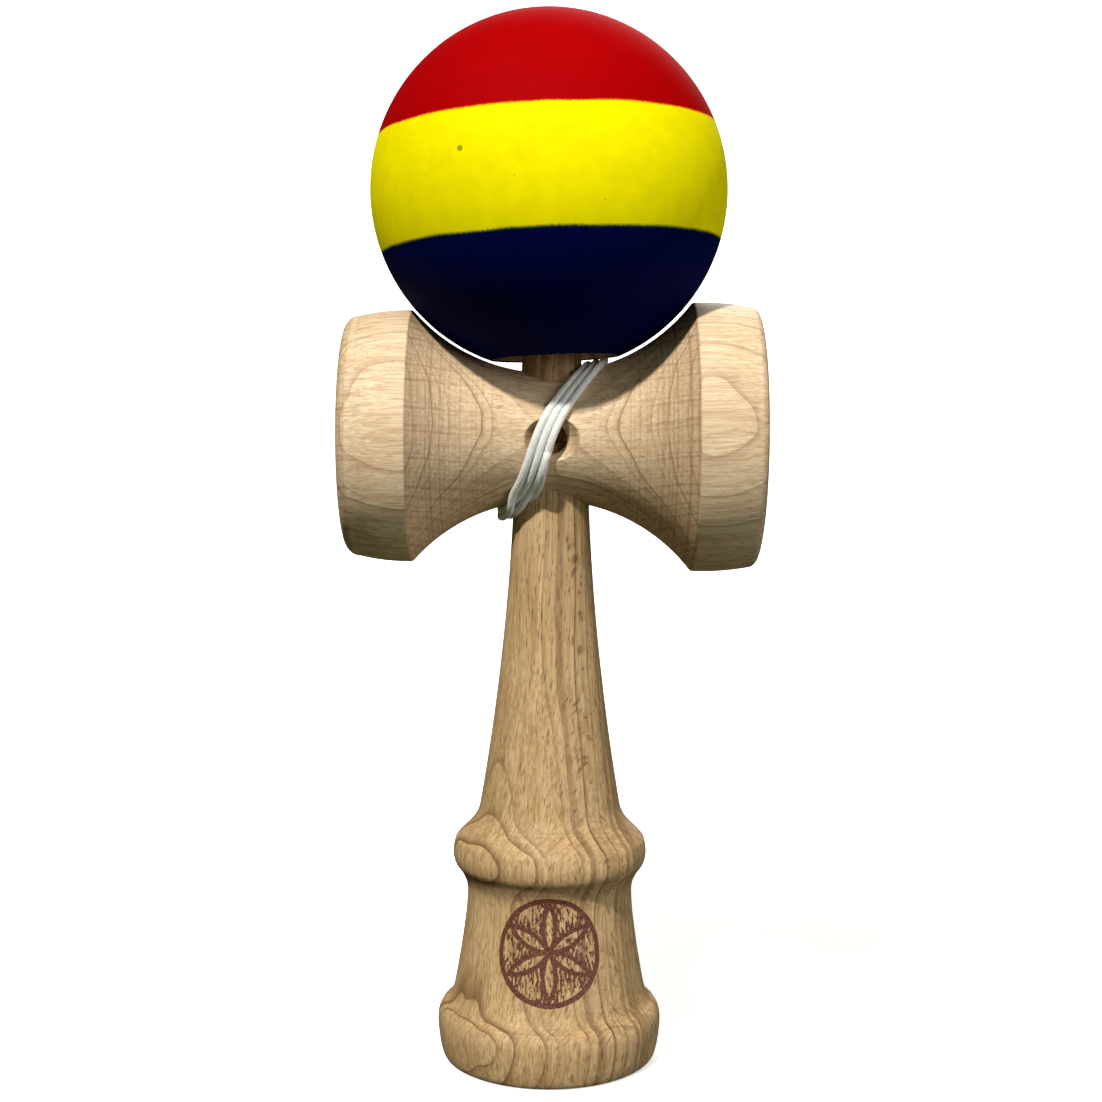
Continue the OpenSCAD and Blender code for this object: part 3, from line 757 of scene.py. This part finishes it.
def beech(name, wood, rosette=False):
    material, tree = newMaterial(name)
    place = addNode(tree, "TexCoord", out=None).outputs
    inMm = addNode(tree, "VectorMath", {0: place["Object"], 3: 1 / mm}, operation="SCALE")
    slow, grown = logAxes(tree, inMm, wood)
    # how far the surface cuts across the fibres, from 0 to 1
    fibreWay = tuple(Vector(wood["grain"]).normalized())
    crossing = addNode(tree, "VectorMath", {0: place["Normal"], 1: fibreWay}, operation="DOT_PRODUCT", out=1)
    crossing = addNode(tree, "Math", {0: crossing}, operation="ABSOLUTE")
    crossing = addNode(tree, "MapRange", {"Value": crossing, "From Min": 0.12, "From Max": 0.85})
    late = yearLines(tree, grown, crossing, wood)
    flecks = rayFlecks(tree, grown, wood)
    # fibres are under 0.05 mm wide, and are drawn four times as wide, so that they show
    thin = addNode(tree, "VectorMath", {0: grown, 1: (4.5, 4.5, 0.16)}, operation="MULTIPLY")
    fibres = addNode(tree, "TexNoise", {"Vector": thin, "Scale": 1.0, "Detail": 4.0, "Roughness": 0.62})
    wide = addNode(tree, "VectorMath", {0: grown, 1: (1.3, 1.3, 0.05)}, operation="MULTIPLY")
    strips = addNode(tree, "TexNoise", {"Vector": wide, "Scale": 1.0, "Detail": 3.0, "Roughness": 0.6})
    blotch = addNode(tree, "TexNoise", {"Vector": slow, "Scale": 2.3, "Detail": 3.0})
    # lathe marks run round the turning axis
    turning = addNode(tree, "SeparateXYZ", {0: inMm}, out=wood["turningAxis"])
    marks = addNode(tree, "TexNoise", {"W": turning, "Scale": 1.9, "Detail": 4.0}, noise_dimensions="1D")
    # cut across, the rays are fine lines about 0.9 mm apart that point to the pith
    sideways = addNode(tree, "SeparateXYZ", {0: grown}, out=1)
    lines = addNode(tree, "TexNoise", {"W": sideways, "Scale": 1.3, "Detail": 3.0}, noise_dimensions="1D")

    # how much each of them darkens the wood: from none at a low value to the most at a high one
    shades = []
    for pattern, low, high, most in ((fibres, 0.42, 0.66, 0.75), (strips, 0.45, 0.7, 0.75),
                                     (blotch, 0.35, 0.7, 0.28), (marks, 0.5, 0.64, wood["markDepth"]),
                                     (lines, 0.5, 0.62, wood["rayDepth"])):
        shades.append(addNode(tree, "MapRange", {"Value": pattern, "From Min": low, "From Max": high,
                                                 "To Max": most}))
    fibreShade, stripShade, blotchShade, markShade, rayShade = shades
    lateShade = addNode(tree, "Math", {0: crossing, 1: 0.35, 2: wood["ringDepth"]}, operation="MULTIPLY_ADD")
    lateShade = addNode(tree, "Math", {0: late, 1: lateShade}, operation="MULTIPLY", use_clamp=True)
    endShade = addNode(tree, "Math", {0: crossing, 1: wood["endDepth"]}, operation="MULTIPLY")
    markShade = addNode(tree, "Math", {0: markShade, 1: crossing}, operation="MULTIPLY")
    rayShade = addNode(tree, "Math", {0: rayShade, 1: crossing}, operation="MULTIPLY")
    uncrossed = addNode(tree, "Math", {0: 1.15, 1: crossing}, operation="SUBTRACT", use_clamp=True)
    fleckShade = addNode(tree, "Math", {0: flecks, 1: wood["fleckDepth"]}, operation="MULTIPLY")
    fleckShade = addNode(tree, "Math", {0: fleckShade, 1: uncrossed}, operation="MULTIPLY")
    colour = linear(wood["pale"])
    for shade, darker in ((fibreShade, "deep"), (stripShade, "deep"), (blotchShade, "deep"),
                          (lateShade, "fleck"), (endShade, "endGrain"), (markShade, "fleck"),
                          (rayShade, "fleck"), (fleckShade, "fleck")):
        colour = addNode(tree, "Mix", {0: shade, 6: colour, 7: linear(wood[darker])}, out=2, data_type="RGBA")

    height = addNode(tree, "Math", {0: fibres, 1: 0.5, 2: late}, operation="MULTIPLY_ADD")
    height = addNode(tree, "Math", {0: marks, 1: 0.5, 2: height}, operation="MULTIPLY_ADD")
    height = addNode(tree, "Math", {0: flecks, 1: -0.5, 2: height}, operation="MULTIPLY_ADD")
    rough = addNode(tree, "MapRange", {"Value": fibres, "To Min": 0.5, "To Max": 0.68})
    if rosette:
        colour, height = burntIn(tree, inMm, colour, height)
    finishMaterial(tree, colour, rough, height, 0.03 * mm, **{"Specular IOR Level": 0.35})
    return material


# Rubber paint, sprayed on the ball in three bands over masking: matte, with a fine grain like a dry eraser.
# Where two bands meet, the spray of one has crept a little over the other.
rubber = {
    "red": "#a80003", "yellow": "#fff000", "navy": "#010742",
    "redOver": "#ff8a00", "navyOver": "#24480a",
    "creep": 0.3,                           # mm that an edge strays either way
    "grain": 0.35,                          # mm across
    "speck": "#6e6010",
    "largestSpeck": (-13.7, -26.4, 4.0),    # mm from the ball's middle
}


def paintBands(tree, fromStripe):
    # The colour for a height in mm from the stripe's middle. The ramp goes on past the stripe, and its stops
    # are in mm from its ends: the navy and the red each creep over the yellow in a thin mixed line.
    past = 1
    span = 2 * (ball["stripeHalf"] + past)
    stops = ((0, "navy"), (0.85, "navy"), (1.06, "navyOver"), (1.5, "yellow"),
             (span - 1.2, "yellow"), (span - 1.04, "redOver"), (span - 0.84, "red"))
    along = addNode(tree, "MapRange", {"Value": fromStripe, "From Min": -span / 2, "From Max": span / 2})
    ramp = addNode(tree, "ValToRGB", {0: along}, out=None)
    elements = ramp.color_ramp.elements
    while len(elements) < len(stops):
        elements.new(0.5)
    for element, (at, colour) in zip(elements, stops):
        element.position = at / span
        element.color = linear(rubber[colour])
    return ramp.outputs[0]


def paintSpecks(tree, inMm, fromStripe):
    # Dirt on the yellow: small dark dots here and there, and the largest one
    cells = addNode(tree, "TexVoronoi", {"Vector": inMm, "Scale": 0.2}, out=None).outputs
    chance = addNode(tree, "SeparateXYZ", {0: cells["Color"]})
    few = addNode(tree, "Math", {0: chance, 1: 0.7}, operation="GREATER_THAN")
    speck = addNode(tree, "MapRange", {"Value": cells["Distance"], "From Min": 0.06, "From Max": 0.03,
                                       "To Max": 0.5})
    speck = addNode(tree, "Math", {0: speck, 1: few}, operation="MULTIPLY")
    largest = addNode(tree, "VectorMath", {0: inMm, 1: rubber["largestSpeck"]}, operation="DISTANCE", out=1)
    largest = addNode(tree, "MapRange", {"Value": largest, "From Min": 0.6, "From Max": 0.35})
    speck = addNode(tree, "Math", {0: speck, 1: largest}, operation="MAXIMUM")
    onYellow = addNode(tree, "Math", {0: fromStripe}, operation="ABSOLUTE")
    onYellow = addNode(tree, "Math", {0: onYellow, 1: ball["stripeHalf"] - 0.5}, operation="LESS_THAN")
    speck = addNode(tree, "Math", {0: speck, 1: onYellow}, operation="MULTIPLY")
    return addNode(tree, "Math", {0: speck, 1: 0.7}, operation="MULTIPLY")


def rubberPaint(name):
    material, tree = newMaterial(name)
    place = addNode(tree, "TexCoord", out=3)
    inMm = addNode(tree, "VectorMath", {0: place, 1: tuple(ballMiddle)}, operation="SUBTRACT")
    inMm = addNode(tree, "VectorMath", {0: inMm, 3: 1 / mm}, operation="SCALE")
    # height above the stripe's middle, with a slow wave and a fine fuzz to its edges
    up = addNode(tree, "VectorMath", {0: inMm, 1: tuple(ballAxis)}, operation="DOT_PRODUCT", out=1)
    wave = addNode(tree, "TexNoise", {"Vector": inMm, "Scale": 0.12, "Detail": 1.0})
    wave = addNode(tree, "Math", {0: wave, 1: 0.5}, operation="SUBTRACT")
    up = addNode(tree, "Math", {0: wave, 1: 0.5, 2: up}, operation="MULTIPLY_ADD")
    fuzz = addNode(tree, "TexNoise", {"Vector": inMm, "Scale": 2.6, "Detail": 4.0, "Roughness": 0.7})
    fuzz = addNode(tree, "Math", {0: fuzz, 1: 0.5}, operation="SUBTRACT")
    up = addNode(tree, "Math", {0: fuzz, 1: 2 * rubber["creep"], 2: up}, operation="MULTIPLY_ADD")
    mottle = addNode(tree, "TexNoise", {"Vector": inMm, "Scale": 0.35, "Detail": 5.0, "Roughness": 0.6})
    tone = addNode(tree, "MapRange", {"Value": mottle, "From Min": 0.3, "From Max": 0.7, "To Min": 0.93,
                                      "To Max": 1.04})
    colour = addNode(tree, "VectorMath", {0: paintBands(tree, up), 3: tone}, operation="SCALE")
    colour = addNode(tree, "Mix", {0: paintSpecks(tree, inMm, up), 6: colour, 7: linear(rubber["speck"])},
                     out=2, data_type="RGBA")
    grain = addNode(tree, "TexNoise", {"Vector": inMm, "Scale": 1 / rubber["grain"], "Detail": 3.0})
    rough = addNode(tree, "MapRange", {"Value": grain, "To Min": 0.6, "To Max": 0.78})
    finishMaterial(tree, colour, rough, grain, 0.02 * mm, **{"Specular IOR Level": 0.02})
    return material


# Braided nylon cord: bright white and silky along each strand, with painted shade: random grey streaks along
# the cord stand for the shade between strands and fibres
# gap is the grey of the painted shade, not a colour of the nylon
cord = {"white": "#f6f7f4", "gap": "#b9bdb8", "threads": 9}   # threads in a strand


def braidedNylon(name):
    material, tree = newMaterial(name)
    uv = addNode(tree, "UVMap")
    parts = addNode(tree, "SeparateXYZ", {0: uv}, out=None).outputs
    # fine threads lie along the strands, both ways round
    n, p = string["strands"], string["pitch"]
    turns = addNode(tree, "Math", {0: parts[0], 1: float(n)}, operation="MULTIPLY")
    fines = []
    for way in (1, -1):
        lay = addNode(tree, "Math", {0: parts[1], 1: way * n / p, 2: turns}, operation="MULTIPLY_ADD")
        lay = addNode(tree, "Math", {0: lay, 1: math.pi * cord["threads"]}, operation="MULTIPLY")
        fines.append(addNode(tree, "Math", {0: lay}, operation="SINE"))
    threads = addNode(tree, "Math", {0: fines[0], 1: fines[1]}, operation="MULTIPLY")
    # painted shade: long random streaks along the cord, mixed up to 0.45 of the way to the gap grey; the same
    # streaks are also part of the bump
    long = addNode(tree, "VectorMath", {0: uv, 1: (18, 0.8, 0)}, operation="MULTIPLY")
    hair = addNode(tree, "TexNoise", {"Vector": long, "Scale": 1.0, "Detail": 3.0})
    shade = addNode(tree, "MapRange", {"Value": hair, "From Min": 0.35, "From Max": 0.7, "To Max": 0.45})
    colour = addNode(tree, "Mix", {0: shade, 6: linear(cord["white"]), 7: linear(cord["gap"])}, out=2,
                     data_type="RGBA")
    height = addNode(tree, "Math", {0: threads, 1: 0.3, 2: hair}, operation="MULTIPLY_ADD")
    finishMaterial(tree, colour, 0.42, height, 0.02 * mm,
                   **{"Specular IOR Level": 0.5, "Sheen Weight": 0.25, "Sheen Roughness": 0.4})
    return material


handleWood = beech("beech, turned and sanded, handle", handleBeech, rosette=True)
crossWood = beech("beech, turned and sanded, crosspiece", crossBeech)
put(kenPiece, handleWood)
put(saradoPiece, crossWood)
ballBeech = dict(handleBeech, middle=tuple(ballMiddle / mm), grain=(0.2, 1, 0.1), radial=(1, 0, 0.3))
put(ballWood, beech("beech, bored, ball", ballBeech))
put(beadPiece, beech("beech, turned bead", dict(ballBeech, ringGap=0.9)))
paint = rubberPaint("rubber paint, sprayed")
for coat in (coatBlue, coatYellow, coatRed):
    put(coat, paint)
nylon = braidedNylon("nylon, braided cord")
for piece in (stringPiece, kenKnot, beadKnot):
    put(piece, nylon)
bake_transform(stringPiece)
print("materials made")


# Studio: a pale floor that turns up into a wall all round, one hard key light, a soft fill and a back light
studio = {
    "floorR": 1.4, "bend": 1.1, "wall": 2.6, "steps": 96,
    "paper": "#f7f7f6", "glow": 0.62,
    "sky": 0.08, "skyColour": "#eeffcc",       # a little green, as over a lawn
    "aim": 0.11, "lightsAway": 1.2,
    # each light's kind, azimuth from the front and height in degrees, spread in degrees (a sun) or breadth in
    # metres (an area), power and colour
    "key": ("SUN", -25, 51, 3, 3.75, "#fffcf6"),
    "fill": ("SUN", 50, 18, 40, 1.1, "#fbfcff"),
    "back": ("AREA", 170, 30, 0.7, 6, "#ffffff"),
}


def makeFloor():
    # The floor's outline goes round the middle as radius * (cos a, sin a)
    s = studio
    bend = arc((s["floorR"], s["bend"]), s["bend"], -90, 0, 24)
    outline = np.vstack([[[0, 0]], bend, [[s["floorR"] + s["bend"], s["wall"]]]])
    row = s["steps"] + 1
    a = np.arange(row) * 2 * math.pi / s["steps"]
    radius, height = outline[:, :1], np.repeat(outline[:, 1:], row, 1)
    grid = np.stack([radius * np.cos(a), radius * np.sin(a), height], 2)
    i, j = np.arange(len(outline) - 1)[:, None] * row, np.arange(s["steps"])[None]
    faces = np.stack([i + j, i + row + j, i + row + 1 + j, i + 1 + j], 2).reshape(-1, 4).tolist()
    floor = meshPiece("floor", grid.reshape(-1, 3), faces)
    # its white doesn't wash out the undersides, and its wall doesn't stand in the low light's way
    floor.visible_diffuse = floor.visible_glossy = floor.visible_shadow = False
    material, tree = newMaterial("paper backdrop")
    shader = addNode(tree, "BsdfPrincipled", {"Base Color": linear(s["paper"]), "Roughness": 0.9,
                                              "Specular IOR Level": 0.1, "Emission Color": (1, 1, 1, 1),
                                              "Emission Strength": s["glow"]}, out=None)
    output = addNode(tree, "OutputMaterial", out=None)
    tree.links.new(shader.outputs[0], output.inputs[0])
    put(floor, material)


def makeLights():
    s = studio
    world = bpy.data.worlds.new("sky")
    world.use_nodes = True
    background = world.node_tree.nodes["Background"]
    background.inputs["Color"].default_value = linear(s["skyColour"])
    background.inputs["Strength"].default_value = s["sky"]
    bpy.context.scene.world = world
    for name in ("key", "fill", "back"):
        kind, azimuth, height, size, power, colour = s[name]
        data = bpy.data.lights.new(name, kind)
        data.energy = power
        data.color = linear(colour)[:3]
        if kind == "SUN":
            data.angle = math.radians(size)
        else:
            data.shape, data.size = "DISK", size
        light = bpy.data.objects.new(name, data)
        az, el = math.radians(azimuth), math.radians(height)
        away = Vector((math.sin(az) * math.cos(el), -math.cos(az) * math.cos(el), math.sin(el)))
        stand = Matrix.Translation(Vector((0, 0, s["aim"])) + away * s["lightsAway"])
        light.matrix_world = stand @ away.to_track_quat("Z", "Y").to_matrix().to_4x4()
        bpy.context.scene.collection.objects.link(light)
    bpy.context.scene.view_settings.view_transform = "Standard"
    bpy.context.scene.view_settings.look = "None"


makeFloor()
makeLights()
print("studio ready")
